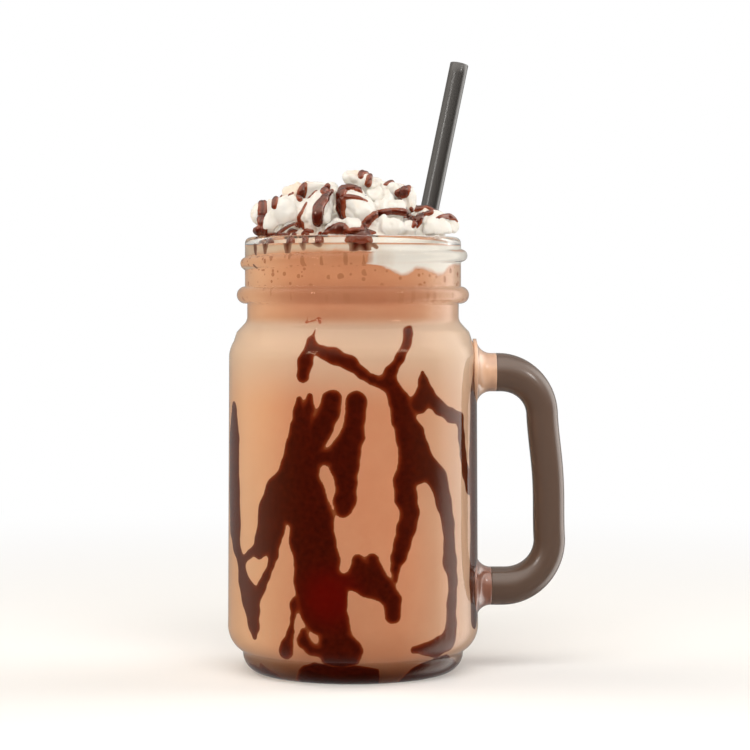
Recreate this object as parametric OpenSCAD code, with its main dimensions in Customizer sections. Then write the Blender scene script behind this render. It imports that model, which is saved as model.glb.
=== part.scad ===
// Milkshake in a handled glass drinking jar, with piped whipped cream and a leaning straw.
// Millimetres, +Z up. The origin is the centre of the flat foot that the jar stands on, and the
// handle points along +X.

/* [Jar body] */
// Height of the jar from the table to the top of its lip
jar_h = 138.8; // [115:0.2:170]
// Outer diameter of the body just above its heel
body_d = 80.2; // [72:0.2:100]
// Outer diameter of the body just under its shoulder
body_top_d = 79.2; // [72:0.2:100]
// Wall thickness of the glass
wall = 3.2; // [2:0.1:4.2]
// Thickness of the glass floor
floor_t = 3.5; // [3:0.1:8]
// Radius of the heel, where the side turns in to the foot
heel_r = 9; // [6:0.1:12]
// How far the side of the foot stands inside the side of the body
foot_inset = 4.8; // [2:0.1:8]
// Height of the foot, which is also the radius of its rounded edge
foot_h = 6.2; // [3:0.1:9]
// Radius of the rounding inside, between the floor and the wall
inner_heel_r = 12; // [9:0.1:16]

/* [Jar shoulder and neck] */
// Outer diameter of the neck and the lip
neck_d = 69; // [62:0.2:72]
// Outer diameter of the collar between the bead and the shoulder
collar_d = 67.6; // [58:0.2:70]
// Distance from the top of the lip down to the foot of the collar
neck_h = 25.1; // [22:0.1:34]
// Radius of the outward rounding at the top of the body
shoulder_r = 10; // [6:0.1:14]
// Radius of the hollow rounding at the foot of the collar
collar_fillet_r = 4; // [3:0.1:9]
// Slope of the shoulder from the vertical, in degrees
shoulder_slope = 32; // [20:1:50]
// Distance from the top of the lip down to the middle of the bead
bead_drop = 18.4; // [16:0.1:21]
// Radius of the bead's round section
bead_r = 2.75; // [1.5:0.05:3.2]
// How far the bead stands out from the neck
bead_out = 2.6; // [1:0.1:3]
// Distance from the top of the lip down to the middle of the front thread
thread_drop = 7.2; // [6:0.1:9]
// Rise of the screw thread in one turn
thread_pitch = 5.6; // [4:0.1:7]
// Radius of the thread's round section
thread_r = 2; // [1:0.05:2.4]
// How far the thread stands out from the neck
thread_out = 1.9; // [0.8:0.1:2.2]
// How far round the back the thread runs on, in degrees
thread_back_turn = 130; // [20:5:170]

/* [Handle] */
// Distance from the body's side to the middle of the upright bar
handle_reach = 22; // [18:0.1:34]
// Distance from the foot of the shoulder down to the middle of the upper arm
handle_top_drop = 4.7; // [4.5:0.1:20]
// Height of the middle of the lower arm above the table
handle_bottom_z = 27.1; // [26:0.1:40]
// Diameter of the handle's round bar
handle_d = 11.2; // [8:0.1:13.2]
// Radius of the upper bend, at the middle of the bar
top_bend_r = 13.5; // [8:0.1:16]
// Radius of the lower bend, at the middle of the bar
bottom_bend_r = 15; // [8:0.1:16]
// Radius of the flare where each arm joins the body
root_flare_r = 4.4; // [2:0.1:5]

/* [Milkshake] */
// Distance from the top of the lip down to the level of the drink
fill_drop = 5; // [3:0.1:12]

/* [Whipped cream] */
// Height of the peak above the lip
peak_h = 21; // [14:0.1:30]
// How far the heap spreads beyond the mouth, over the lip
cream_overhang = 3; // [0:0.1:3.6]
// Width of one of the ridges that the star nozzle leaves along the cream
ridge_w = 3.2; // [2:0.1:6]
// Depth of those ridges
ridge_depth = 0.5; // [0:0.1:1]

/* [Straw] */
// Outer diameter of the straw
straw_d = 6; // [4:0.1:8]
// Wall thickness of the straw
straw_wall = 0.3; // [0.2:0.05:0.6]
// Length of the straw
straw_len = 197; // [170:0.2:260]
// Distance of the straw's lower end from the jar's axis
straw_foot_r = 5.2; // [0:0.1:22]
// Direction of the straw's lower end from the axis, in degrees from +X
straw_foot_az = 190; // [150:1:270]
// Direction in which the straw leans on the lip, in degrees from +X
straw_rest_az = 32; // [10:1:80]

/* [Hidden] */

// Clearance between the jar, what fills it and the straw
seat_gap = 0.05;
// Clearance between the straw and the lip that it leans on
lean_gap = 0.3;

body_r = body_d / 2;
body_top_r = body_top_d / 2;
neck_r = neck_d / 2;
collar_r = collar_d / 2;
mouth_r = collar_r - wall;
handle_r = handle_d / 2;
straw_r = straw_d / 2;

// Angle over which the heel turns in before it meets the foot
heel_turn = 60;
// Height of the small crease between the foot and the heel
heel_crease = 0.8;

foot_side_r = body_r - foot_inset;
foot_r = foot_side_r - foot_h;
heel_z = foot_h + heel_crease + heel_r * sin(heel_turn);
collar_z = jar_h - neck_h;
bead_z = jar_h - bead_drop;
thread_z = jar_h - thread_drop;
lip_w = neck_r - mouth_r;
lip_z = jar_h - lip_w / 2;
level_z = jar_h - fill_drop;

// The straight flank of the shoulder runs from the collar's fillet down to the shoulder's rounding
flank_top = [
    collar_r + collar_fillet_r * (1 - cos(shoulder_slope)),
    collar_z - collar_fillet_r * sin(shoulder_slope)
];
flank_foot_r = body_top_r - shoulder_r * (1 - cos(shoulder_slope));
flank_foot_z = flank_top[1] - (flank_foot_r - flank_top[0]) / tan(shoulder_slope);
shoulder_z = flank_foot_z - shoulder_r * sin(shoulder_slope);

bar_x = body_r + handle_reach;
handle_top_z = shoulder_z - handle_top_drop;

arc_steps = 8;
facets = 96;
$fn = facets;

// Points on a circle of radius r about c, from angle a0 to a1
function arc(c, r, a0, a1) =
    [for (i = [0:arc_steps]) let (a = a0 + (a1 - a0) * i / arc_steps) c + r * [cos(a), sin(a)]];

// ---- Jar ----

// Half section of the jar's outside, from the axis at the foot to the axis at the lip
function jar_outline() = concat(
    [[0, 0]],
    arc([foot_r, foot_h], foot_h, -90, 0),
    arc([body_r - heel_r, heel_z], heel_r, -heel_turn, 0),
    arc([body_top_r - shoulder_r, shoulder_z], shoulder_r, 0, shoulder_slope),
    arc([collar_r + collar_fillet_r, collar_z], collar_fillet_r, 180 + shoulder_slope, 180),
    [[collar_r, bead_z], [neck_r, bead_z]],
    arc([neck_r - lip_w / 2, lip_z], lip_w / 2, 0, 90),
    [[0, jar_h]]
);

// Half section of the inside, drawn in by gap, up to the height top_z
function inside_outline(gap, top_z) = concat(
    [[0, floor_t + gap]],
    arc([body_r - wall - inner_heel_r, floor_t + inner_heel_r], inner_heel_r - gap, -90, 0),
    arc([body_top_r - shoulder_r, shoulder_z], shoulder_r - wall - gap, 0, shoulder_slope),
    arc([collar_r + collar_fillet_r, collar_z], collar_fillet_r + wall + gap,
        180 + shoulder_slope, 180),
    [[mouth_r - gap, top_z], [0, top_z]]
);

// The hollow of the jar, open through the lip with its inner edge rounded
module jar_hollow() {
    rotate_extrude() polygon(inside_outline(0, lip_z));
    translate([0, 0, lip_z])
        difference() {
            cylinder(h = lip_w, r = mouth_r + lip_w / 2);
            rotate_extrude() translate([mouth_r + lip_w / 2, 0]) circle(r = lip_w / 2);
        }
}

module bead() {
    translate([0, 0, bead_z])
        rotate_extrude() translate([neck_r + bead_out - bead_r, 0]) circle(r = bead_r);
}

// A stretch of thread over turn degrees: a tilted ring that climbs half a pitch in half a turn
module thread_stretch(start_az, turn, mid_z) {
    ring_r = neck_r + thread_out - thread_r;
    tilt = atan(thread_pitch / 4 / ring_r);
    translate([0, 0, mid_z])
        rotate([0, 0, start_az])
            rotate([0, tilt, 0])
                rotate_extrude(angle = turn) translate([ring_r, 0]) circle(r = thread_r);
}

// The screw thread: the front half climbs to the right, and the back runs on above it and ends
module thread() {
    thread_stretch(180, 180, thread_z);
    thread_stretch(0, thread_back_turn, thread_z + thread_pitch / 2);
}

// A bend of the handle's bar that starts at angle a0 in the X-Z plane and turns through a quarter
module handle_bend(centre_z, bend_r, a0) {
    translate([bar_x - bend_r, 0, centre_z])
        rotate([90, 0, 0])
            rotate([0, 0, a0])
                rotate_extrude(angle = 90) translate([bend_r, 0]) circle(r = handle_r);
}

// A level arm of the handle, from inside the wall out to its bend, with a flared root
module handle_arm(z, bend_r) {
    translate([body_top_r - wall / 2, 0, z])
        rotate([0, 90, 0])
            cylinder(h = bar_x - bend_r - body_top_r + wall / 2, r = handle_r);
    translate([body_top_r - wall / 2, 0, z])
        rotate([0, 90, 0])
            rotate_extrude()
                polygon(concat(
                    [[0, 0], [handle_r + root_flare_r, 0]],
                    arc([handle_r + root_flare_r, wall / 2 + root_flare_r], root_flare_r, 270, 180),
                    [[0, wall / 2 + root_flare_r]]
                ));
}

module handle() {
    bar_foot = handle_bottom_z + bottom_bend_r;
    bar_top = handle_top_z - top_bend_r;
    handle_arm(handle_top_z, top_bend_r);
    handle_arm(handle_bottom_z, bottom_bend_r);
    handle_bend(bar_top, top_bend_r, 0);
    handle_bend(bar_foot, bottom_bend_r, -90);
    translate([bar_x, 0, bar_foot]) cylinder(h = bar_top - bar_foot, r = handle_r);
}

module jar() {
    color([0.86, 0.88, 0.86, 0.4])
        difference() {
            union() {
                rotate_extrude() polygon(jar_outline());
                bead();
                thread();
                handle();
            }
            jar_hollow();
        }
}

// ---- Straw ----

// The straw stands on the floor at straw_foot and leans on the lip at straw_rest
straw_foot_xy = straw_foot_r * [cos(straw_foot_az), sin(straw_foot_az)];
rest_guess = (mouth_r - straw_r) * [cos(straw_rest_az), sin(straw_rest_az)];
lean_guess = atan(norm(rest_guess - straw_foot_xy) / (jar_h - floor_t));
rest_r = mouth_r - straw_r / cos(lean_guess) - lean_gap;
straw_rest_xy = rest_r * [cos(straw_rest_az), sin(straw_rest_az)];
lean_run = straw_rest_xy - straw_foot_xy;
lean = atan(norm(lean_run) / (jar_h - floor_t));
lean_az = atan2(lean_run[1], lean_run[0]);

// Puts a shape drawn up the Z axis along the straw, its lowest edge resting on the floor
module along_straw() {
    translate([straw_foot_xy[0], straw_foot_xy[1], floor_t + seat_gap + straw_r * sin(lean)])
        rotate([0, lean, lean_az])
            children();
}

// A tube along the straw: its wall, made thicker on every side by gap
module straw_tube(gap) {
    along_straw()
        difference() {
            translate([0, 0, -gap]) cylinder(h = straw_len + 2 * gap, r = straw_r + gap);
            translate([0, 0, -1]) cylinder(h = straw_len + 2, r = straw_r - straw_wall - gap);
        }
}

module straw() {
    color([0.09, 0.08, 0.08]) straw_tube(0);
}

// ---- Milkshake ----

// Lobes of cream that sink into the drink at the wall: [azimuth, radius, depth under the level]
sunk_lobes = [
    [-61, 10, 8], [-20, 9, 7.5], [-127, 4, 6], [-95, 7, 2.4],
    [40, 12, 5], [118, 12, 6], [190, 10, 4]
];
deepest_lobe = max([for (l = sunk_lobes) l[2]]);
// Distance from the wall in to the middle of a sunk lobe
lobe_inset = 3.4;

module sunk_lobes(gap) {
    for (l = sunk_lobes)
        rotate([0, 0, l[0]])
            translate([mouth_r - lobe_inset, 0, level_z - l[2] + l[1]])
                sphere(r = l[1] + gap);
}

module milkshake() {
    color([0.80, 0.58, 0.43])
        difference() {
            rotate_extrude() polygon(inside_outline(seat_gap, level_z));
            union() {
                sunk_lobes(seat_gap);
                straw_tube(seat_gap);
            }
        }
}

// ---- Whipped cream ----

// Tongues of piped cream: [start x, y, height above the lip, end x, y, height, half breadth].
// The heights are given for a peak of 21 and scale with peak_h.
tongues = [
    [-31, -4, 4, -24, 4, 11, 5.5],
    [-28, -14, 4, -16, -12, 13, 5],
    [-20, -23, 2, -14, -16, 9, 5],
    [-16, -3, 15, -9, 4, 16.5, 5],
    [-9, -25, 4, -8, -9, 15, 5.5],
    [1, -25, 5, 1, -9, 17, 5],
    [-2, -2, 20.6, 2, -1, 21, 4],
    [7, 0, 19, 16, 2, 13.5, 5],
    [11, -9, 12, 18, -3, 10, 5],
    [15, -20, 9.5, 15, -14, 10.5, 7],
    [6, -27, 2, 24, -20, 2.5, 5],
    [30, -9, 7, 30, 2, 8, 4.5],
    [23, -6, 8, 22, 4, 8, 4],
    [24, 14, 5, 12, 26, 6, 6],
    [4, 28, 6, -12, 25, 7, 6],
    [-22, 19, 6.5, -28, 7, 7, 6],
    [9, 13, 14, -7, 13, 15, 6.5]
];
drawn_peak_h = 21;
// Sharpness with which one tongue gives way to the next
tongue_blend = 1;
// Least height of the heap above the lip
heap_floor = 0.8;

azimuths = 84;
top_rings = 24;

function plan(az, r) = [r * cos(az), r * sin(az)];

// Height above the lip of one tongue at p: a rounded rope with ridges along its length
function tongue_height(t, p) =
    let (
        start = [t[0], t[1]],
        run = [t[3], t[4]] - start,
        share = max(0, min(1, (p - start) * run / (run * run))),
        d = norm(p - start - share * run),
        across = cross(run, p - start) / norm(run),
        crest = t[2] + share * (t[5] - t[2])
    )
    crest * peak_h / drawn_peak_h - d * d / t[6] + ridge_depth * cos(360 * across / ridge_w);

// Top of the heap at p: the highest tongue, blended smoothly into its neighbours
function heap_top(p) =
    jar_h + heap_floor
        + ln(1 + total([for (t = tongues) exp(tongue_blend * (tongue_height(t, p) - heap_floor))]))
        / tongue_blend;

function total(v) = v * [for (x = v) 1];

// Edge of the heap over the lip: round, and pushed out a little by each outer tongue
function heap_edge_r(az) = mouth_r + cream_overhang * (0.8 + 0.2 * cos(7 * az + 30));

// Lowest level that the cream reaches, with room for the lobes to be cut from it
heap_base_z = level_z - deepest_lobe - 1;

function ring(r_shift, z) = [for (i = [0:azimuths - 1])
    let (az = i * 360 / azimuths, p = plan(az, mouth_r - seat_gap + r_shift * (heap_edge_r(az) - mouth_r)))
    [p[0], p[1], z]];

// Closed loft of the heap: up the wall, out over the lip, and in over the top to its middle
heap_rings = concat(
    [ring(0, heap_base_z), ring(0, jar_h + seat_gap), ring(1, jar_h + seat_gap)],
    [for (k = [top_rings:-1:1]) [for (i = [0:azimuths - 1])
        let (az = i * 360 / azimuths, p = plan(az, (heap_edge_r(az) + 0.4) * k / top_rings))
        [p[0], p[1], heap_top(p)]]]
);

module heap() {
    rings = len(heap_rings);
    last = (rings - 1) * azimuths;
    top_hub = rings * azimuths;
    polyhedron(
        points = concat([for (r = heap_rings) each r], [[0, 0, heap_top([0, 0])]]),
        faces = concat(
            [[for (i = [0:azimuths - 1]) i]],
            [for (k = [0:rings - 2], i = [0:azimuths - 1])
                let (j = (i + 1) % azimuths)
                each [
                    [k * azimuths + i, (k + 1) * azimuths + i, k * azimuths + j],
                    [k * azimuths + j, (k + 1) * azimuths + i, (k + 1) * azimuths + j]
                ]],
            [for (i = [0:azimuths - 1]) [top_hub, last + (i + 1) % azimuths, last + i]]
        )
    );
}

// What the drink takes of the heap: all under its level, apart from the sunk lobes
module drink_under_heap() {
    difference() {
        translate([0, 0, heap_base_z - 1])
            cylinder(h = level_z + seat_gap - heap_base_z + 1, r = mouth_r + 1);
        sunk_lobes(0);
    }
}

module whipped_cream() {
    color([0.93, 0.91, 0.86])
        difference() {
            heap();
            drink_under_heap();
            along_straw() cylinder(h = straw_len, r = straw_r + seat_gap);
        }
}

jar();
milkshake();
whipped_cream();
straw();
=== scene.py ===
import math
import bpy
import numpy as np
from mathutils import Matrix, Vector
from mathutils.bvhtree import BVHTree


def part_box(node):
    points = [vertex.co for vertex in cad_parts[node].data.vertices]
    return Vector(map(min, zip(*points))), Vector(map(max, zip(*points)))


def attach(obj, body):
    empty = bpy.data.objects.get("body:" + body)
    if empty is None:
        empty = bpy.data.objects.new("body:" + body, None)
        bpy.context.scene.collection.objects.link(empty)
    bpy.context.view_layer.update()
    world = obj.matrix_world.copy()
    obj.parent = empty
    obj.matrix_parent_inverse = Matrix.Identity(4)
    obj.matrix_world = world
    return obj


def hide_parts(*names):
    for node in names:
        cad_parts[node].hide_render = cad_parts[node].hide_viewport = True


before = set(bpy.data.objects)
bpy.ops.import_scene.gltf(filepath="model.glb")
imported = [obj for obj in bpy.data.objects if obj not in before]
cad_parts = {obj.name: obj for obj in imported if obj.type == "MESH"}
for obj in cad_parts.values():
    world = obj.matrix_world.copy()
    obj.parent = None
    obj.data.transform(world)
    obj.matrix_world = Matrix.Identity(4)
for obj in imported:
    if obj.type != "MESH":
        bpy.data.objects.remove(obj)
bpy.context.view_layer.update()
print("frame loaded")

mm = 0.001


def metres(points):
    # millimetres times 0.001
    return np.asarray(points, dtype=float) * mm


def easeStep(low, high, x):
    # smooth step: 3t^2 - 2t^3 with t the share of the way from low to high
    t = np.clip((x - low) / (high - low), 0, 1)
    return t * t * (3 - 2 * t)


def arcPoints(centre, radius, start, end, count):
    # points c + r (cos a, sin a) for angles a in degrees from start to end
    a = np.radians(np.linspace(start, end, count))
    return np.stack([centre[0] + radius * np.cos(a), centre[1] + radius * np.sin(a)], axis=1)


def linePoints(start, end, count):
    # evenly spaced points between two ends, without the ends themselves
    t = np.linspace(0, 1, count + 2)[1:-1, None]
    return np.array(start) * (1 - t) + np.array(end) * t


def latticeValue(ix, iy, iz, seed):
    # one repeatable value from -1 to 1 for each whole-numbered lattice point, by mixing its bits
    n = (ix.astype(np.int64) * 374761393 + iy.astype(np.int64) * 668265263
         + iz.astype(np.int64) * 1440662683 + seed * 974634777)
    n = n & 0xFFFFFFFF
    n = ((n ^ (n >> 13)) * 1274126177) & 0xFFFFFFFF
    n = (n ^ (n >> 16)) & 0xFFFFFF
    return n / float(0x7FFFFF) - 1


def softNoise(points, size, seed):
    # value noise: lattice values at cells of the given size, blended by smooth steps along x, y, z
    p = np.asarray(points) / size
    cell = np.floor(p).astype(np.int64)
    f = p - cell
    u = f * f * (3 - 2 * f)
    total = 0
    for dx in (0, 1):
        for dy in (0, 1):
            for dz in (0, 1):
                weight = (np.where(dx, u[..., 0], 1 - u[..., 0])
                          * np.where(dy, u[..., 1], 1 - u[..., 1])
                          * np.where(dz, u[..., 2], 1 - u[..., 2]))
                total = total + weight * latticeValue(
                    cell[..., 0] + dx, cell[..., 1] + dy, cell[..., 2] + dz, seed)
    return total


def gridQuads(rows, columns, closed):
    # quads between neighbours of a rows x columns grid, joined round in the column direction
    r = np.arange(rows - 1)[:, None]
    c = np.arange(columns if closed else columns - 1)[None, :]
    a = r * columns + c
    b = r * columns + (c + 1) % columns
    return np.stack([a, b, b + columns, a + columns], axis=-1).reshape(-1, 4)


def tubeFaces(rows, columns):
    # quads of a closed tube, and a fan at each end onto two more points that follow its grid
    k = np.arange(columns)
    n = (k + 1) % columns
    base = (rows - 1) * columns
    first = np.stack([np.full(columns, rows * columns), n, k], axis=1)
    last = np.stack([np.full(columns, rows * columns + 1), base + k, base + n], axis=1)
    return gridQuads(rows, columns, True).tolist() + first.tolist() + last.tolist()


def slabFaces(top, count):
    # a closed slab: the top quads, the same quads turned over on the points count further on, and
    # walls between the two round every free edge. Gives the points in use and the faces on them.
    edges = np.stack([top, np.roll(top, -1, axis=1)], axis=-1).reshape(-1, 2)
    ahead = edges[:, 0] * count + edges[:, 1]
    back = edges[:, 1] * count + edges[:, 0]
    rim = edges[~np.isin(ahead, back)]
    walls = np.stack([rim[:, 1], rim[:, 0], rim[:, 0] + count, rim[:, 1] + count], axis=1)
    faces = np.vstack([top, top[:, ::-1] + count, walls])
    used, faces = np.unique(faces, return_inverse=True)
    return used, faces.reshape(-1, 4).tolist()


def makeMesh(name, points, faces, material):
    # a smooth-shaded object at the origin from points in millimetres and lists of faces
    mesh = bpy.data.meshes.new(name)
    mesh.from_pydata(metres(points).tolist(), [], faces)
    mesh.polygons.foreach_set("use_smooth", np.ones(len(mesh.polygons), dtype=bool))
    mesh.materials.append(material)
    mesh.update()
    piece = bpy.data.objects.new(name, mesh)
    bpy.context.scene.collection.objects.link(piece)
    return piece


def lathe(name, profile, columns, material, bulge=None):
    # turns a profile (radius, height) about Z; the first and last points lie on the axis.
    # bulge(angle, radius, height) adds to the radius over the whole grid.
    a = np.arange(columns) * 2 * np.pi / columns
    rings = profile[1:-1]
    radius = np.repeat(rings[:, :1], columns, axis=1)
    height = np.repeat(rings[:, 1:], columns, axis=1)
    if bulge is not None:
        radius = radius + bulge(a[None, :], radius, height)
    grid = np.stack([radius * np.cos(a), radius * np.sin(a), height], axis=-1).reshape(-1, 3)
    points = np.vstack([grid, [[0, 0, profile[0, 1]], [0, 0, profile[-1, 1]]]])
    return makeMesh(name, points, tubeFaces(len(rings), columns), material)


def sweep(path, radii, columns, sideways=(0, 1, 0), shape=None):
    # rings of radius r about each path point, square to the path, with closed ends.
    # shape(angle) scales the radius; sideways is the direction that angle 0 lies nearest to.
    path = np.asarray(path, dtype=float)
    along = np.gradient(path, axis=0)
    along /= np.linalg.norm(along, axis=1, keepdims=True)
    side = np.array(sideways, dtype=float) - along * (along @ np.array(sideways, dtype=float))[:, None]
    side /= np.linalg.norm(side, axis=1, keepdims=True)
    up = np.cross(along, side)
    a = np.arange(columns) * 2 * np.pi / columns
    r = np.asarray(radii, dtype=float)[:, None] * np.ones(columns)
    if shape is not None:
        r = r * shape(a[None, :])
    ring = path[:, None, :] + r[..., None] * (
        np.cos(a)[None, :, None] * side[:, None, :] + np.sin(a)[None, :, None] * up[:, None, :])
    points = np.vstack([ring.reshape(-1, 3), path[:1], path[-1:]])
    return points, tubeFaces(len(path), columns)


def feed(socket, given):
    # links the socket to another node's output, or sets its own value
    if isinstance(given, bpy.types.NodeSocket):
        socket.id_data.links.new(given, socket)
    else:
        socket.default_value = given


def newMaterial(name, look):
    # a material with the look's values on its Principled shader: gives its nodes and the shader
    material = bpy.data.materials.new(name)
    material.use_nodes = True
    nodes = material.node_tree.nodes
    shader = nodes["Principled BSDF"]
    for key, value in look.items():
        shader.inputs[key].default_value = value
    return material, nodes, shader


def addNode(nodes, kind, given, **settings):
    # a new node with its settings made first and its inputs fed by name or number
    node = nodes.new("ShaderNode" + kind)
    for key, value in settings.items():
        setattr(node, key, value)
    for key, value in given.items():
        feed(node.inputs[key], value)
    return node


def objectPosition(nodes):
    # where a point lies on its own piece, in metres
    return nodes.new("ShaderNodeTexCoord").outputs["Object"]


def splitAxes(nodes, place):
    # the three coordinates of a position, by the names X, Y and Z
    return addNode(nodes, "SeparateXYZ", {"Vector": place}).outputs


def mathOf(nodes, operation, one, two=0.0):
    # one number from two, by a Math node's operation
    return addNode(nodes, "Math", {0: one, 1: two}, operation=operation).outputs["Value"]


def vectorOf(nodes, operation, one, two=(0, 0, 0), result="Vector"):
    # one vector or length from two vectors, by a Vector Math node's operation
    return addNode(nodes, "VectorMath", {0: one, 1: two}, operation=operation).outputs[result]


def rangeOf(nodes, value, low, high, most=1.0, least=0.0, smooth=False):
    # least where the value is low, most where it is high, and straight or smooth steps between
    given = {"Value": value, "From Min": low, "From Max": high, "To Min": least, "To Max": most}
    kind = "SMOOTHSTEP" if smooth else "LINEAR"
    return addNode(nodes, "MapRange", given, interpolation_type=kind).outputs["Result"]


def mixOf(nodes, factor, one, two, kind="MIX"):
    # colour one going over to colour two, or multiplied by it, as far as the factor says
    given = {"Factor": factor, "A": one, "B": two}
    return addNode(nodes, "Mix", given, data_type="RGBA", blend_type=kind).outputs["Result"]


def noiseOf(nodes, place, scale, detail, roughness):
    # cloudy noise from 0 to 1 with the given number of patches to the metre
    given = {"Vector": place, "Scale": scale, "Detail": detail, "Roughness": roughness}
    return addNode(nodes, "TexNoise", given).outputs["Fac"]


def rampOf(nodes, value, stops):
    # a colour that runs through the stops (position, colour) as the value rises
    node = addNode(nodes, "ValToRGB", {"Fac": value})
    elements = node.color_ramp.elements
    for element, stop in ((elements[0], stops[0]), (elements[1], stops[-1])):
        element.position, element.color = stop
    for position, color in stops[1:-1]:
        elements.new(position).color = color
    return node.outputs["Color"]


def depthOf(nodes):
    # the attribute depth of a film: how far a point lies inside its edge
    return addNode(nodes, "Attribute", {}, attribute_name="depth").outputs["Fac"]


def buildGrainGroup():
    # fine grain: a coarse and a fine noise, mixed into one height
    group = bpy.data.node_groups.new("fineGrain", "ShaderNodeTree")
    face = group.interface
    face.new_socket("Vector", in_out="INPUT", socket_type="NodeSocketVector")
    face.new_socket("Coarse", in_out="INPUT", socket_type="NodeSocketFloat")
    face.new_socket("Fine", in_out="INPUT", socket_type="NodeSocketFloat")
    face.new_socket("Height", in_out="OUTPUT", socket_type="NodeSocketFloat")
    nodes = group.nodes
    given, out = nodes.new("NodeGroupInput").outputs, nodes.new("NodeGroupOutput")
    coarse = noiseOf(nodes, given["Vector"], given["Coarse"], 2.0, 0.5)
    fine = noiseOf(nodes, given["Vector"], given["Fine"], 2.0, 0.5)
    mix = addNode(nodes, "Mix", {"Factor": 0.4, "A": coarse, "B": fine})
    feed(out.inputs["Height"], mix.outputs["Result"])
    return group


grainGroup = buildGrainGroup()


def addGrain(nodes, shader, coarse, fine, strength, distance):
    # bends the shader's normal by the fine grain, with so many coarse and fine bumps to the metre
    grain = addNode(nodes, "Group", {}, node_tree=grainGroup)
    for key, given in (("Vector", objectPosition(nodes)), ("Coarse", coarse), ("Fine", fine)):
        feed(grain.inputs[key], given)
    given = {"Strength": strength, "Distance": distance, "Height": grain.outputs["Height"]}
    feed(shader.inputs["Normal"], addNode(nodes, "Bump", given).outputs["Normal"])


def glassMaterial():
    # clear glass; light from the lamps passes straight through, so that what the jar holds is lit
    look = {"Base Color": (0.97, 0.98, 0.97, 1), "Roughness": 0.03, "IOR": 1.5,
            "Transmission Weight": 1, "Specular Tint": (0.30, 0.23, 0.17, 1)}
    throughColor = (0.96, 0.97, 0.96, 1)
    grain = dict(coarse=130, fine=500, strength=0.06, distance=0.00005)
    material, nodes, shader = newMaterial("clearGlass", look)
    addGrain(nodes, shader, **grain)
    clear = addNode(nodes, "BsdfTransparent", {"Color": throughColor})
    path = nodes.new("ShaderNodeLightPath")
    mix = addNode(nodes, "MixShader", {0: path.outputs["Is Shadow Ray"], 1: shader.outputs["BSDF"],
                                       2: clear.outputs["BSDF"]})
    feed(nodes["Material Output"].inputs["Surface"], mix.outputs["Shader"])
    return material


def handleMaterial():
    # smoky glass, almost opaque
    look = {"Base Color": (0.105, 0.066, 0.048, 1), "Roughness": 0.2, "IOR": 1.5,
            "Specular IOR Level": 0.6}
    grain = dict(coarse=260, fine=1100, strength=0.15, distance=0.00006)
    material, nodes, shader = newMaterial("smokyGlass", look)
    addGrain(nodes, shader, **grain)
    return material


def rootMaterial():
    # the clear roots of the handle, filled with the colour of the drink behind them: one colour
    # below and one above, with upright streaks of a darker one
    look = {"Roughness": 0.3, "Coat Weight": 1, "Coat Roughness": 0.05}
    colors = dict(lower=(0.23, 0.09, 0.055, 1), upper=(0.72, 0.44, 0.28, 1),
                  streak=(0.24, 0.11, 0.07, 1))
    spans = dict(height=(0.050, 0.070), streak=(0.45, 0.75, 0.7))
    material, nodes, shader = newMaterial("milkyRoot", look)
    place = objectPosition(nodes)
    stretched = addNode(nodes, "Mapping", {"Vector": place, "Scale": (1.0, 1.0, 0.3)})
    swirl = noiseOf(nodes, stretched.outputs["Vector"], 130.0, 2.0, 0.5)
    rise = rangeOf(nodes, splitAxes(nodes, place)["Z"], *spans["height"])
    tone = mixOf(nodes, rise, colors["lower"], colors["upper"])
    streak = rangeOf(nodes, swirl, *spans["streak"])
    feed(shader.inputs["Base Color"], mixOf(nodes, streak, tone, colors["streak"]))
    return material


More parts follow.
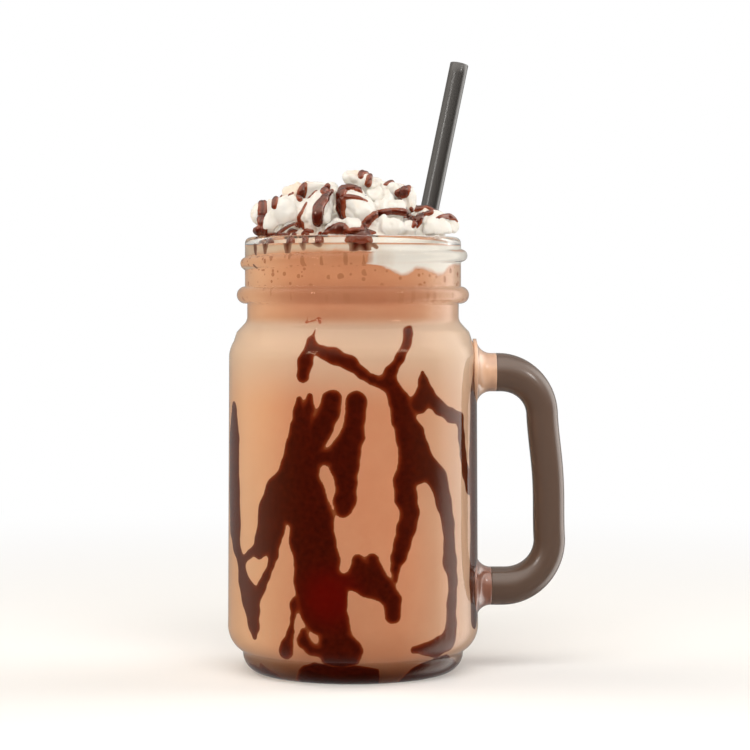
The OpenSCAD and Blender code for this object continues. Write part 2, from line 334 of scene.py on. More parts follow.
def drinkMaterial():
    # cloudy chocolate milk: painted light that makes it paler towards both sides, a painted highlight
    # as a pale belt at the shoulder, painted shade by height, and froth bubbles near the top
    look = {"Roughness": 0.45, "Specular IOR Level": 0}
    # the left and right colours are painted side light, the shoulder colour a painted highlight
    colors = dict(dark=(0.65, 0.275, 0.145, 1), light=(0.71, 0.335, 0.185, 1),
                  left=(0.75, 0.45, 0.26, 1), right=(0.70, 0.47, 0.325, 1),
                  shoulderHighlight=(0.68, 0.52, 0.385, 1), bubble=(0.45, 0.185, 0.09, 1))
    # painted shade by height, darkest at the foot and darker under the neck: factors on the colour by
    # share of the height
    heightShades = [(0.025, (0.26, 0.17, 0.14, 1)), (0.06, (0.70, 0.66, 0.64, 1)),
              (0.13, (0.9, 0.9, 0.9, 1)), (0.3, (1, 1, 1, 1)), (0.72, (1, 1, 1, 1)),
              (0.83, (0.86, 0.92, 0.98, 1)), (0.872, (0.74, 0.68, 0.68, 1)),
              (0.91, (0.86, 0.84, 0.82, 1))]
    froth = dict(cells=560.0, rarity=2.2, size=0.62, start=0.118, full=0.124)
    # each span is where a mask starts, where it is full and how much it is then
    spans = dict(sides=(0.012, 0.035, 0.9), leftRight=(-0.02, 0.03), highlightRise=(0.084, 0.104),
                 highlightFall=(0.1145, 0.1085, 0.75), heightShades=(0.0, 0.138), foot=(0.016, 0.008))
    material, nodes, shader = newMaterial("chocolateMilk", look)
    place = objectPosition(nodes)
    axes = splitAxes(nodes, place)
    cloud = noiseOf(nodes, place, 45.0, 8.0, 0.72)
    base = rampOf(nodes, cloud, [(0.3, colors["dark"]), (0.7, colors["light"])])
    # painted light: paler towards both sides, standing in for the side lamps and their reflection in
    # the glass
    edge = rangeOf(nodes, mathOf(nodes, "ABSOLUTE", axes["X"]), *spans["sides"], smooth=True)
    side = rangeOf(nodes, axes["X"], *spans["leftRight"])
    pale = mixOf(nodes, side, colors["left"], colors["right"])
    sideLitMilk = mixOf(nodes, edge, base, pale)
    # painted highlight: a pale belt where the shoulder of the glass catches the light
    below = rangeOf(nodes, axes["Z"], *spans["highlightRise"], smooth=True)
    above = rangeOf(nodes, axes["Z"], *spans["highlightFall"], smooth=True)
    highlighted = mixOf(nodes, mathOf(nodes, "MULTIPLY", below, above), sideLitMilk, colors["shoulderHighlight"])
    # painted shade by height; it counts least where the sides are painted paler, except at the foot
    layer = rampOf(nodes, rangeOf(nodes, axes["Z"], *spans["heightShades"]), heightShades)
    foot = rangeOf(nodes, axes["Z"], *spans["foot"])
    most = mathOf(nodes, "MAXIMUM", mathOf(nodes, "SUBTRACT", 1.0, edge), foot)
    shaded = mixOf(nodes, most, highlighted, layer, "MULTIPLY")
    # bubbles are round spots, each cell with a size of its own
    cells = addNode(nodes, "TexVoronoi", {"Vector": place, "Scale": froth["cells"], "Randomness": 1.0})
    own = addNode(nodes, "SeparateColor", {"Color": cells.outputs["Color"]}).outputs["Red"]
    size = mathOf(nodes, "MULTIPLY", mathOf(nodes, "POWER", own, froth["rarity"]), froth["size"])
    spot = mathOf(nodes, "LESS_THAN", cells.outputs["Distance"], size)
    band = rangeOf(nodes, axes["Z"], froth["start"], froth["full"])
    bubbles = mathOf(nodes, "MULTIPLY", spot, band)
    feed(shader.inputs["Base Color"], mixOf(nodes, bubbles, shaded, colors["bubble"]))
    return material


def sauceMaterial(name, look, tones, deepest):
    # dark sauce: its colour follows the attribute depth, from the thin edge to the thick middle,
    # with a fine leathery mottle
    positions = (0.0, 0.3, 0.65, 1.0)
    material, nodes, shader = newMaterial(name, look)
    place = objectPosition(nodes)
    share = rangeOf(nodes, depthOf(nodes), 0.0, deepest)
    color = rampOf(nodes, share, list(zip(positions, tones)))
    mottle = rangeOf(nodes, noiseOf(nodes, place, 620.0, 2.0, 0.6), *sauceSpans["mottle"])
    color = mixOf(nodes, mottle, color, sauceColors["mottle"])
    if look is behindGlass:
        # painted glow: a red patch low on the front, as if light came through the sauce there
        away = vectorOf(nodes, "DISTANCE", place, sauceColors["glowPlace"], "Value")
        glow = rangeOf(nodes, away, *sauceSpans["glow"], smooth=True)
        color = mixOf(nodes, glow, color, sauceColors["glow"])
        # painted light: browner and paler towards both sides, standing in for the side lamps
        across = mathOf(nodes, "ABSOLUTE", splitAxes(nodes, place)["X"])
        edge = rangeOf(nodes, across, *sauceSpans["sides"], smooth=True)
        color = mixOf(nodes, edge, color, sauceColors["side"])
    feed(shader.inputs["Base Color"], color)
    return material


def bandMaterial():
    # cream behind the glass: stained with drink on one side, clean on the other, and running out
    # into the drink over its lower edge, where the attribute depth is small
    look = {"Roughness": 0.5, "Specular IOR Level": 0}
    colors = dict(stained=(0.56, 0.42, 0.30, 1), clean=(0.80, 0.78, 0.73, 1),
                  drink=(0.58, 0.27, 0.145, 1))
    spans = dict(clean=(0.008, 0.026), fade=(-0.3, 2.0))
    wander = 0.030
    material, nodes, shader = newMaterial("stainedCream", look)
    place = objectPosition(nodes)
    cloud = noiseOf(nodes, place, 110.0, 3.0, 0.6)
    spread = addNode(nodes, "Math", {0: cloud, 1: wander, 2: splitAxes(nodes, place)["X"]},
                     operation="MULTIPLY_ADD")
    side = rangeOf(nodes, spread.outputs["Value"], *spans["clean"])
    tone = mixOf(nodes, side, colors["stained"], colors["clean"])
    fade = rangeOf(nodes, depthOf(nodes), *spans["fade"], smooth=True)
    feed(shader.inputs["Base Color"], mixOf(nodes, fade, colors["drink"], tone))
    return material


def creamMaterial():
    # piped cream: cloudy off-white, with patches tinted by the sauce, painted shade in the valleys
    # between the folds by Pointiness, and a stain low on its left side
    look = {"Roughness": 0.5, "Subsurface Weight": 0.15, "Subsurface Radius": (1.0, 0.8, 0.6),
            "Subsurface Scale": 0.0015}
    colors = dict(dark=(0.72, 0.695, 0.64, 1), light=(0.775, 0.755, 0.715, 1),
                  tint=(0.84, 0.62, 0.45, 1), valleyShade=(0.60, 0.51, 0.42, 1),
                  stain=(0.62, 0.45, 0.33, 1))
    spans = dict(tint=(0.54, 0.70, 0.55), valleyShade=(0.50, 0.40, 0.85), low=(0.1405, 0.1385),
                 left=(0.002, -0.010, 0.8))
    grain = dict(coarse=380, fine=1300, strength=0.5, distance=0.0003)
    material, nodes, shader = newMaterial("whippedCream", look)
    place = objectPosition(nodes)
    axes = splitAxes(nodes, place)
    cloud = noiseOf(nodes, place, 160.0, 3.0, 0.6)
    color = rampOf(nodes, cloud, [(0.3, colors["dark"]), (0.7, colors["light"])])
    patch = rangeOf(nodes, noiseOf(nodes, place, 75.0, 2.0, 0.5), *spans["tint"], smooth=True)
    color = mixOf(nodes, patch, color, colors["tint"])
    # painted shade in the valleys between the folds, where Pointiness is low
    shape = nodes.new("ShaderNodeNewGeometry").outputs["Pointiness"]
    valleyShade = rangeOf(nodes, shape, *spans["valleyShade"], smooth=True)
    color = mixOf(nodes, valleyShade, color, colors["valleyShade"])
    low = rangeOf(nodes, axes["Z"], *spans["low"])
    left = rangeOf(nodes, axes["X"], *spans["left"])
    stain = mathOf(nodes, "MULTIPLY", low, left)
    feed(shader.inputs["Base Color"], mixOf(nodes, stain, color, colors["stain"]))
    addGrain(nodes, shader, **grain)
    return material


def strawMaterial():
    # black plastic with a soft sheen
    look = {"Base Color": (0.018, 0.015, 0.013, 1), "Roughness": 0.3, "Specular IOR Level": 0.8,
            "Coat Weight": 0.25, "Coat Roughness": 0.2}
    grain = dict(coarse=150, fine=900, strength=0.2, distance=0.00005)
    material, nodes, shader = newMaterial("blackPlastic", look)
    addGrain(nodes, shader, **grain)
    return material


# for the sauce behind the glass: side is painted side light, glow a painted red glow
sauceColors = dict(mottle=(0.19, 0.017, 0.004, 1), side=(0.105, 0.026, 0.010, 1),
                   glow=(0.14, 0.002, 0.001, 1), glowPlace=(-0.0070, -0.036, 0.028))
sauceSpans = dict(mottle=(0.3, 0.7, 0.22), glow=(0.014, 0.002, 0.65), sides=(0.012, 0.036, 0.7))
behindGlass = {"Roughness": 0.4, "Specular IOR Level": 0}
openSauce = {"Roughness": 0.12, "Specular IOR Level": 0.6, "Specular Tint": (1.0, 0.66, 0.50, 1),
             "Coat Weight": 0.4, "Coat Roughness": 0.05}
# tones from the thin edge to the thick middle
sauceTones = [(0.34, 0.10, 0.035, 1), (0.16, 0.020, 0.005, 1), (0.060, 0.006, 0.002, 1),
              (0.044, 0.004, 0.0015, 1)]
smearTones = [(0.60, 0.26, 0.13, 1), (0.46, 0.14, 0.07, 1), (0.38, 0.10, 0.05, 1),
              (0.30, 0.07, 0.03, 1)]
lipTones = [(0.42, 0.28, 0.19, 1), (0.30, 0.17, 0.11, 1), (0.15, 0.065, 0.038, 1),
            (0.045, 0.006, 0.002, 1)]
clearGlass = glassMaterial()
smokyGlass = handleMaterial()
milkyRoot = rootMaterial()
chocolateMilk = drinkMaterial()
wallSauce = sauceMaterial("wallSauce", behindGlass, sauceTones, 2.2)
thinSauce = sauceMaterial("thinSauce", behindGlass, smearTones, 1.2)
lipStain = sauceMaterial("lipStain", behindGlass, lipTones, 1.9)
glossySauce = sauceMaterial("glossySauce", openSauce, sauceTones, 2.2)
whippedCream = creamMaterial()
stainedCream = bandMaterial()
blackPlastic = strawMaterial()
print("materials made")


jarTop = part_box("jar")[1][2] / mm
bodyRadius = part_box("jar")[1][1] / mm
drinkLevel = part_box("milkshake")[1][2] / mm

jar = dict(
    shoulderRadius=39.6, wall=3.2, floor=3.5, heel=9, heelTurn=60, footSide=35.3, footHeight=6.2,
    innerHeel=12, shoulder=10, slope=32, neck=34.5, collar=33.8, collarDrop=25.1, collarFillet=4,
    beadDrop=18.4, beadSize=2.75, beadOut=2.6, threadDrop=7.2, threadPitch=5.6, threadSize=2.0,
    threadOut=2.05, threadTurn=310, threadFade=14, knurls=90, knurlHeight=15, knurlTall=1.3,
    knurlDepth=0.11, heelRise=0.8, flankLead=4, beadLead=2.7, columns=256,
)
mouth = jar["collar"] - jar["wall"]
collarZ = jarTop - jar["collarDrop"]
beadZ = jarTop - jar["beadDrop"]
heelZ = jar["footHeight"] + jar["heelRise"] + jar["heel"] * math.sin(math.radians(jar["heelTurn"]))
slope = math.radians(jar["slope"])
flankTop = (jar["collar"] + jar["collarFillet"] * (1 - math.cos(slope)),
            collarZ - jar["collarFillet"] * math.sin(slope))
flankFootR = jar["shoulderRadius"] - jar["shoulder"] * (1 - math.cos(slope))
shoulderZ = (flankTop[1] - (flankFootR - flankTop[0]) / math.tan(slope)
             - jar["shoulder"] * math.sin(slope))
lip = (jar["neck"] - mouth) / 2


def innerProfile(shift):
    # inside of the jar from its mouth down to the middle of its floor, moved out by shift
    return np.vstack([
        linePoints((mouth + shift, jarTop - lip), (mouth + shift, collarZ), 60),
        arcPoints((jar["collar"] + jar["collarFillet"], collarZ),
                  jar["collarFillet"] + jar["wall"] - shift, 180, 180 + jar["slope"], 10),
        arcPoints((jar["shoulderRadius"] - jar["shoulder"], shoulderZ),
                  jar["shoulder"] - jar["wall"] + shift, jar["slope"], 0, 14),
        linePoints((jar["shoulderRadius"] - jar["wall"] + shift, shoulderZ),
                   (bodyRadius - jar["wall"] + shift, jar["floor"] + jar["innerHeel"]), 24),
        arcPoints((bodyRadius - jar["wall"] - jar["innerHeel"], jar["floor"] + jar["innerHeel"]),
                  jar["innerHeel"] + shift, 0, -90, 16),
    ])


def outerProfile():
    # outside of the jar from the middle of its foot up to its lip
    beadCentre = jar["neck"] + jar["beadOut"] - jar["beadSize"]
    beadStart = -math.degrees(math.acos((jar["collar"] - beadCentre) / jar["beadSize"]))
    beadEnd = math.degrees(math.acos((jar["neck"] - beadCentre) / jar["beadSize"]))
    footFlat = jar["footSide"] - jar["footHeight"]
    return np.vstack([
        linePoints((0, 0), (footFlat, 0), 6),
        arcPoints((footFlat, jar["footHeight"]), jar["footHeight"], -90, 0, 16),
        arcPoints((bodyRadius - jar["heel"], heelZ), jar["heel"], -jar["heelTurn"], 0, 30),
        linePoints((bodyRadius, heelZ), (jar["shoulderRadius"], shoulderZ), 30),
        arcPoints((jar["shoulderRadius"] - jar["shoulder"], shoulderZ),
                  jar["shoulder"], 0, jar["slope"], 12),
        linePoints((flankFootR, flankTop[1] - jar["flankLead"]), flankTop, 3),
        arcPoints((jar["collar"] + jar["collarFillet"], collarZ),
                  jar["collarFillet"], 180 + jar["slope"], 180, 8),
        linePoints((jar["collar"], collarZ), (jar["collar"], beadZ - jar["beadLead"]), 4),
        arcPoints((beadCentre, beadZ), jar["beadSize"], beadStart, beadEnd, 20),
        linePoints((jar["neck"], beadZ + jar["beadSize"]), (jar["neck"], jarTop - lip), 50),
        arcPoints((jar["neck"] - lip, jarTop - lip), lip, 0, 180, 16),
    ])


def jarBulge(angle, radius, height):
    # screw thread: a round rope on a rising line, sqrt(1 - d^2) high at d ropes from it;
    # knurls: short upright ribs round the heel, cosine waves that come and go
    azimuth = (np.degrees(angle) - 180) % 360
    line = jarTop - jar["threadDrop"] + jar["threadPitch"] * (azimuth - 90) / 360
    fade = easeStep(0, jar["threadFade"], azimuth) * easeStep(
        jar["threadTurn"], jar["threadTurn"] - jar["threadFade"], azimuth)
    away = np.abs(height - line) / jar["threadSize"]
    rope = jar["threadOut"] * np.sqrt(np.clip(1 - away ** 2, 0, 1)) * fade
    outside = (radius > jar["neck"] - 0.2) & (height > beadZ + jar["beadSize"])
    rib = np.cos(angle * jar["knurls"] + np.sin(angle * 7)) * (0.55 + 0.45 * np.sin(angle * 5))
    rib = rib * np.exp(-((height - jar["knurlHeight"]) / jar["knurlTall"]) ** 2)
    side = radius > jar["footSide"]
    return np.where(outside, rope, 0) + np.where(side, rib * jar["knurlDepth"], 0)


glassProfile = np.vstack([[[0, 0]], outerProfile(), innerProfile(0), [[0, jar["floor"]]]])
jarGlass = lathe("jarGlass", glassProfile, jar["columns"], clearGlass, jarBulge)
print("glass", len(jarGlass.data.polygons))


handle = dict(topZ=95.7, bottomZ=27.1, topX=46.8, topBend=13.8, bottomX=48.1, bottomBend=14.9,
              armWide=6.15, barWide=5.05, flare=4.6, start=38.4, clearEndTop=46, clearEndLow=44.5,
              flareLead=0.6, thinning=1.5, bow=0.7, columns=72)


def handlePath():
    # middle line: out along the upper arm, round a quarter bend, down the bar that leans out a
    # little as it goes down, round the lower quarter bend and back in
    top, bottom = handle["topZ"], handle["bottomZ"]
    a, b = handle["topBend"], handle["bottomBend"]
    barTop = np.array([handle["topX"] + a, top - a])
    barFoot = np.array([handle["bottomX"] + b, bottom + b])
    t = np.linspace(0, 1, 26)[1:-1, None]
    bar = barTop * (1 - t) + barFoot * t
    bar[:, 0] += handle["bow"] * np.sin(np.pi * t[:, 0]) ** 2
    points = np.vstack([
        [[handle["start"], top]], linePoints((handle["start"], top), (handle["topX"], top), 24),
        arcPoints((handle["topX"], top - a), a, 90, 0, 28), bar,
        arcPoints((handle["bottomX"], bottom + b), b, 0, -90, 28),
        linePoints((handle["bottomX"], bottom), (handle["start"], bottom), 24),
        [[handle["start"], bottom]],
    ])
    return np.stack([points[:, 0], np.zeros(len(points)), points[:, 1]], axis=1)


def handleRadii(path):
    # thick where the bar runs level, thinner where it runs upright, flared next to the body
    along = np.gradient(path, axis=0)
    upright = np.abs(along[:, 2]) / np.linalg.norm(along, axis=1)
    thinner = (handle["barWide"] - handle["armWide"]) * upright ** handle["thinning"]
    near = np.clip(1 - (path[:, 0] - bodyRadius + handle["flareLead"]) / handle["flare"], 0, 1)
    return handle["armWide"] + thinner + handle["flare"] * (1 - np.sqrt(1 - near ** 2))


barPath = handlePath()
barRadii = handleRadii(barPath)
middle = len(barPath) // 2
upperRoot = np.where(barPath[:middle, 0] < handle["clearEndTop"])[0]
lowerRoot = middle + np.where(barPath[middle:, 0] < handle["clearEndLow"])[0]
rootPieces = []
for name, rows in (("handleRootUpper", upperRoot), ("handleRootLower", lowerRoot)):
    points, faces = sweep(barPath[rows], barRadii[rows], handle["columns"])
    rootPieces.append(makeMesh(name, points, faces, milkyRoot))
bar = np.arange(upperRoot[-1], lowerRoot[0] + 1)
points, faces = sweep(barPath[bar], barRadii[bar], handle["columns"])
jarHandle = makeMesh("jarHandle", points, faces, smokyGlass)
print("handle")


overlap = 0.05  # how far the drink reaches into the glass, so that no gap shows
drinkProfile = np.vstack([[[0, jar["floor"] - overlap]], innerProfile(overlap)[::-1]])
drinkProfile = drinkProfile[drinkProfile[:, 1] < drinkLevel]
drinkProfile = np.vstack([drinkProfile, [[mouth + overlap, drinkLevel], [0, drinkLevel]]])
milkshake = lathe("milkshakeDrink", drinkProfile, jar["columns"], chocolateMilk)
print("milkshake")


def wallLine():
    # the inner wall as height, radius, height of the point and outward normal; the height is the
    # real one on the side, and goes on downwards as a length along the curve below it
    line = innerProfile(0)
    step = np.linalg.norm(np.diff(line, axis=0), axis=1)
    run = np.concatenate([[0], np.cumsum(step)])
    heel = jar["floor"] + jar["innerHeel"]
    start = np.argmin(np.abs(line[:, 1] - heel))
    line = np.vstack([line, [[0.5, jar["floor"]]]])
    run = np.append(run, run[-1] + line[-2, 0] - 0.5)
    height = np.where(line[:, 1] >= heel, line[:, 1], heel - (run - run[start]))
    along = np.gradient(line, axis=0)
    normal = np.stack([-along[:, 1], along[:, 0]], axis=1)
    normal /= np.linalg.norm(normal, axis=1, keepdims=True)
    order = np.argsort(height)
    return height[order], [line[order, 0], line[order, 1], normal[order, 0], normal[order, 1]]


wallHeight, wallValues = wallLine()
wallRadius = wallValues[0]


def strokeField(x, y, strokes, blend):
    # how deep each point lies inside the nearest stroke: each stretch of a stroke is a capsule
    # with a radius that changes along it, and neighbours run into each other over the blend
    best = np.full(x.shape, -99.0)
    for stroke in strokes:
        points = np.array(stroke, dtype=float)
        points[:, 0] *= np.pi / 180 * np.interp(points[:, 1], wallHeight, wallRadius)
        for a, b in zip(points[:-1], points[1:]):
            run = b[:2] - a[:2]
            t = np.clip(((x - a[0]) * run[0] + (y - a[1]) * run[1]) / (run @ run + 1e-9), 0, 1)
            away = np.hypot(x - a[0] - t * run[0], y - a[1] - t * run[1])
            inside = a[2] + t * (b[2] - a[2]) - away
            near = np.clip(blend - np.abs(best - inside), 0, None) / blend
            best = np.maximum(best, inside) + near ** 2 * blend / 4
    return best


film = dict(sunk=0.25, edgeOut=-0.6, edgeIn=0.45, mmPerDegree=0.644)


def addDepth(piece, values):
    # stores how thick the sauce is as an attribute of the points, for its colour
    layer = piece.data.attributes.new("depth", "FLOAT", "POINT")
    layer.data.foreach_set("value", np.ascontiguousarray(values, dtype=np.float32))


def wallFilm(name, field, span, heights, cell, lift, material, back):
    # film on the inner wall: its outer skin is lifted into the glass inside the field's edge and
    # sinks under the drink outside it, by a smooth step; its inner skin lies the back's depth below
    count = int((span[1] - span[0]) * film["mmPerDegree"] / cell) + 1
    degrees = np.linspace(span[0], span[1], count)
    closed = span[1] - span[0] == 360
    if closed:
        degrees = degrees[:-1]
    level = np.linspace(heights[0], heights[1], int((heights[1] - heights[0]) / cell) + 1)
    deg, h = np.meshgrid(degrees, level)
    radius, z, outR, outZ = (np.interp(h, wallHeight, values) for values in wallValues)
    a = np.radians(deg - 90)
    place = np.stack([radius * np.cos(a), radius * np.sin(a), h], axis=-1)
    inside = field(deg, h, np.radians(deg) * radius, place)
    step = easeStep(film["edgeOut"], film["edgeIn"], inside)
    up = -film["sunk"] + (lift + film["sunk"]) * step

    def skin(amount):
        # the wall moved along its normal by the amount
        r = radius + outR * amount
        return np.stack([r * np.cos(a), r * np.sin(a), z + outZ * amount], axis=-1).reshape(-1, 3)

    wet = inside > film["edgeOut"]
    keep = wet[:-1] | wet[1:]
    keep = (keep | np.roll(keep, -1, axis=1)) if closed else (keep[:, :-1] | keep[:, 1:])
    top = gridQuads(*deg.shape, closed)[keep.reshape(-1)]
    used, faces = slabFaces(top, deg.size)
    points = np.vstack([skin(up), skin(np.minimum(up, 0) - back)])
    piece = makeMesh(name, points[used], faces, material)
    addDepth(piece, inside.reshape(-1)[used % deg.size])
    return piece


# Runs of sauce down the glass. Each point is [degrees round from the front, height, half width].
# Below 15.5 the height goes on as a length along the inside of the heel.
frontRuns = dict(
    horn=[[-20, 109, 0.3], [-21, 105.5, 1.4], [-23, 100, 2.4], [-24, 95.5, 2.3]],
    arm=[[-20, 104, 1.6], [-14, 102.5, 1.8], [-9, 101.5, 2.5], [-1.5, 99.5, 2.3], [4, 96.5, 1.8],
         [9, 94.5, 1.6], [13, 93.5, 1.8], [18, 92.5, 1.9]],
    branch=[[32, 109.5, 0.6], [30, 108, 1.4], [27, 104.5, 1.6], [22.5, 101, 1.7], [18, 97, 2],
            [16, 93.5, 2.4]],
    trunk=[[18, 93, 2.6], [22, 88, 3.4], [24, 83, 4], [28, 77, 4.8], [30.5, 72, 5.4],
           [32, 68, 6]],
    trunkLeft=[[29, 68, 5], [25, 63.5, 3.6], [25.5, 58, 3.7], [27.5, 53.5, 3.1], [25.5, 49, 3.2],
               [23.5, 44, 2.9], [21.5, 40, 2.4], [20, 36.5, 1.4], [20, 33, 0.9]],
    trunkRight=[[36, 68.5, 4], [44, 63, 3.8], [48, 56, 3.4], [51, 49, 2.8], [51.5, 43, 2.7],
                [52, 37.5, 3.3], [54, 31.5, 2.3], [53, 24.5, 2.4], [53, 18, 2.6], [51.5, 13.5, 3.2],
                [44, 11.5, 3], [30, 11.5, 1.2]],
    knot=[[34.5, 96.5, 0.6], [35, 93.5, 1.9], [36, 90, 3.4], [32.5, 87, 3.6]],
    sideBand=[[36, 90, 2.8], [45, 85.5, 2.3], [53, 83, 2.3], [61, 81.5, 2.2], [62, 76, 2.1],
              [63.5, 70.5, 2.1], [66, 65, 2.3], [69.5, 60, 2.6]],
    farRight=[[84, 98, 3], [82, 88, 6], [81, 70, 6.6], [82, 50, 6.6], [80, 30, 6.2], [78, 18, 4]],
    spur=[[-26, 88.5, 1.1], [-25.5, 84.5, 2.4], [-25, 79, 3.7], [-25.5, 73, 5.2], [-26, 67, 6.4],
          [-27.5, 61, 8], [-28, 58.5, 9.5]],
    notch=[[-20.5, 89.5, 1.1], [-21.5, 85.5, 2.1], [-23, 81, 2.5]],
    ridge=[[-10, 88.5, 3.4], [-11, 84.5, 3.4], [-15, 80, 3.6], [-20, 74.5, 4], [-24, 70, 4]],
    column=[[1.5, 88, 3.3], [0.5, 82, 3.1], [-0.5, 77.5, 3.7], [-3.5, 72.5, 4.6], [-4, 68, 4.4],
            [-3, 63.5, 3.3], [-4, 58, 3.4], [-4.5, 55, 2.8]],
    bridge=[[-20, 70.5, 3.2], [-11, 71, 2.4], [-5, 70.5, 3]],
    body=[[-23, 59, 7], [-20, 52, 7], [-19.5, 45, 7.3], [-17.5, 39, 7.2], [-17, 33, 7.4],
          [-15, 29, 8], [-14, 24, 7.4], [-13, 21.5, 6]],
    bodyFoot=[[-8, 21, 4], [-8, 17, 4.4], [-8, 14, 5], [-6, 11, 6.6], [-6, 8, 3.6]],
    legLeft=[[-36, 59, 6.6], [-41, 53, 5.6], [-42, 49, 5.4], [-45.5, 44.5, 4.6], [-50, 40.5, 2.4]],
    legFork=[[-41, 44, 3.4], [-40.5, 40.5, 2], [-41.5, 37, 1.5], [-44.5, 33.5, 1.6],
             [-48, 29.5, 1.8], [-52, 26, 2.6]],
    legOut=[[-50, 42, 1.8], [-57, 39.5, 1.4], [-63, 37, 1.8]],
    leftWall=[[-75, 84, 3], [-76, 75, 5.4], [-76, 60, 5.8], [-74, 48, 5.4], [-71, 41.5, 3],
              [-65, 36.5, 2.4], [-62.5, 31, 3.4], [-57, 26, 4.8], [-54.5, 22, 3.8],
              [-53.5, 18, 2.8], [-53, 14.5, 1.5]],
    drop=[[-23.5, 17, 1.4], [-23.5, 14.5, 2], [-20, 12, 1.8], [-12, 11, 2]],
    dropStem=[[-28, 26.5, 1.5], [-28.5, 25, 1.7], [-29, 21.5, 0.8], [-30, 17, 1], [-33, 12.5, 2],
              [-34, 11, 2.6]],
    lips=[[2, 39.5, 2], [4, 35.5, 3.6], [7.5, 32, 4], [14.5, 30, 3.3], [18.5, 27, 2.9],
          [19, 22, 2.7]],
    lipTop=[[9, 39.5, 2], [9, 36, 3], [13, 32, 3]],
    lipLink=[[-9, 33, 3], [-4, 33, 2.3], [3.5, 33, 4]],
)
smearRuns = [[[-26, 113.5, 0.6], [-26.5, 111.5, 0.8], [-23, 112, 0.8], [-19.5, 113, 0.7],
              [-18.5, 111, 0.6]]]
lipRuns = dict(
    block=[[2, 138.5, 2.4], [2, 136.5, 2.6], [0.8, 134.6, 1.9]],
    blockRight=[[5.5, 138.5, 2.4], [5.5, 136.5, 2.6], [7, 134.6, 1.9]],
    blockWedge=[[10, 136.5, 1.2], [13, 135, 0.8]],
    dripA=[[-69, 139, 1.3], [-68, 135, 1.3], [-67, 132, 0.9]],
    dripB=[[-57, 139, 1.4], [-57, 136, 1.4], [-57, 134, 1]],
    dripC=[[-39, 139, 1.5], [-39, 136, 1.5], [-39, 133.5, 1.2]],
    dripD=[[-29, 139, 1.1], [-29, 136, 1.1], [-28.5, 134.8, 0.9]],
    dripE=[[-20, 139, 1.8], [-20, 137, 1.8], [-19, 136, 1.2]],
    dripF=[[120, 139, 1.6], [121, 135, 1.5], [121, 133, 1]],
    dripG=[[170, 139, 1.3], [169, 136, 1.2]],
    dripH=[[215, 139, 1.6], [216, 134, 1.4], [216, 131, 1]],
)


def backRun(run, turn, stretch, rise):
    # the same kind of run on the far side: turned round the jar, stretched and shifted in height
    points = np.array(run, dtype=float)
    points[:, 0] = turn + points[:, 0] * stretch
    points[:, 1] = np.where(points[:, 1] > 20, points[:, 1] + rise, points[:, 1])
    return points.tolist()


backRuns = (
    [backRun(frontRuns[name], 180, 0.92, -3) for name in
     ("horn", "arm", "branch", "trunk", "trunkLeft", "trunkRight", "knot", "lips", "lipTop")]
    + [backRun(frontRuns[name], 163, -0.9, 3) for name in
       ("spur", "notch", "ridge", "column", "bridge", "body", "bodyFoot", "legLeft", "drop")]
    + [backRun(frontRuns["leftWall"], 195, 0.7, 5), backRun(frontRuns["sideBand"], 95, 0.6, 6)]
)


# Waves in the edges of the films, each [how far it moves the edge, its size, its seed]
runWaves = [[1.0, 4.0, 3], [0.45, 1.5, 5]]
runGrain = [0.07, 0.6, 7]
poolWaves = [[1.3, 6.0, 11], [0.6, 2.5, 12]]
creamWaves = [[0.5, 2.5, 21], [0.2, 0.9, 22]]


def wavy(inside, place, waves, wobble=1.0):
    # the depth inside an edge plus every wave's noise times how far it moves the edge
    for amount, size, seed in waves:
        inside = inside + wobble * amount * softNoise(place, size, seed)
    return inside


def sauceField(runs, blend, wobble):
    # depth inside the runs, with edges that wander by the wobble and a little grain
    def field(deg, h, x, place):
        return wavy(wavy(strokeField(x, h, runs, blend), place, runWaves, wobble), place, [runGrain])
    return field


pool = np.array([
    [0, 6], [8, 5], [14, 3.5], [18, -3], [28, -4], [34, 2], [40, 7], [46, 9], [54, 9], [62, 6],
    [75, 3], [95, 3], [130, 6], [165, 1], [200, 5], [235, 2], [265, 3], [290, 2], [300, 3],
    [308, 1], [318, -2], [326, 1], [333, 5], [341, 7.5], [350, 7], [360, 6],
])


def poolField(deg, h, x, place):
    # sauce that has settled on the floor: all of it below a wandering line near the heel
    edge = np.interp(deg % 360, pool[:, 0], pool[:, 1])
    return wavy(edge - h, place, poolWaves)


creamLine = np.array([
    [-90, 131.5], [-75, 131.8], [-60, 132.5], [-45, 133.2], [-36, 133], [-20, 133.3], [-5, 133.5],
    [1, 133.2], [6, 132], [11, 130.4], [16, 128.6], [22.5, 127], [28, 126], [32, 126.2], [37, 128],
    [44, 127.7], [48, 127], [55, 126], [60, 126.5], [66, 128.7], [73, 129.6], [90, 129],
    [120, 127], [150, 131], [185, 130], [215, 127.5], [245, 130.5], [270, 131.5],
])


def creamField(deg, h, x, place):
    # cream against the glass: above a wandering line and, with a steeper edge, below the
    # rounding of the lip
    edge = np.interp(deg, creamLine[:, 0], creamLine[:, 1])
    steep, margin = 3, 0.6
    return np.minimum(wavy(h - edge, place, creamWaves), steep * (jarTop - lip - margin - h))


frontField = sauceField(list(frontRuns.values()), blend=1.4, wobble=0.3)
backField = sauceField(backRuns, blend=1.4, wobble=0.3)
smearField = sauceField(smearRuns, blend=1.0, wobble=0.5)
lipField = sauceField(list(lipRuns.values()), blend=0.6, wobble=0.25)
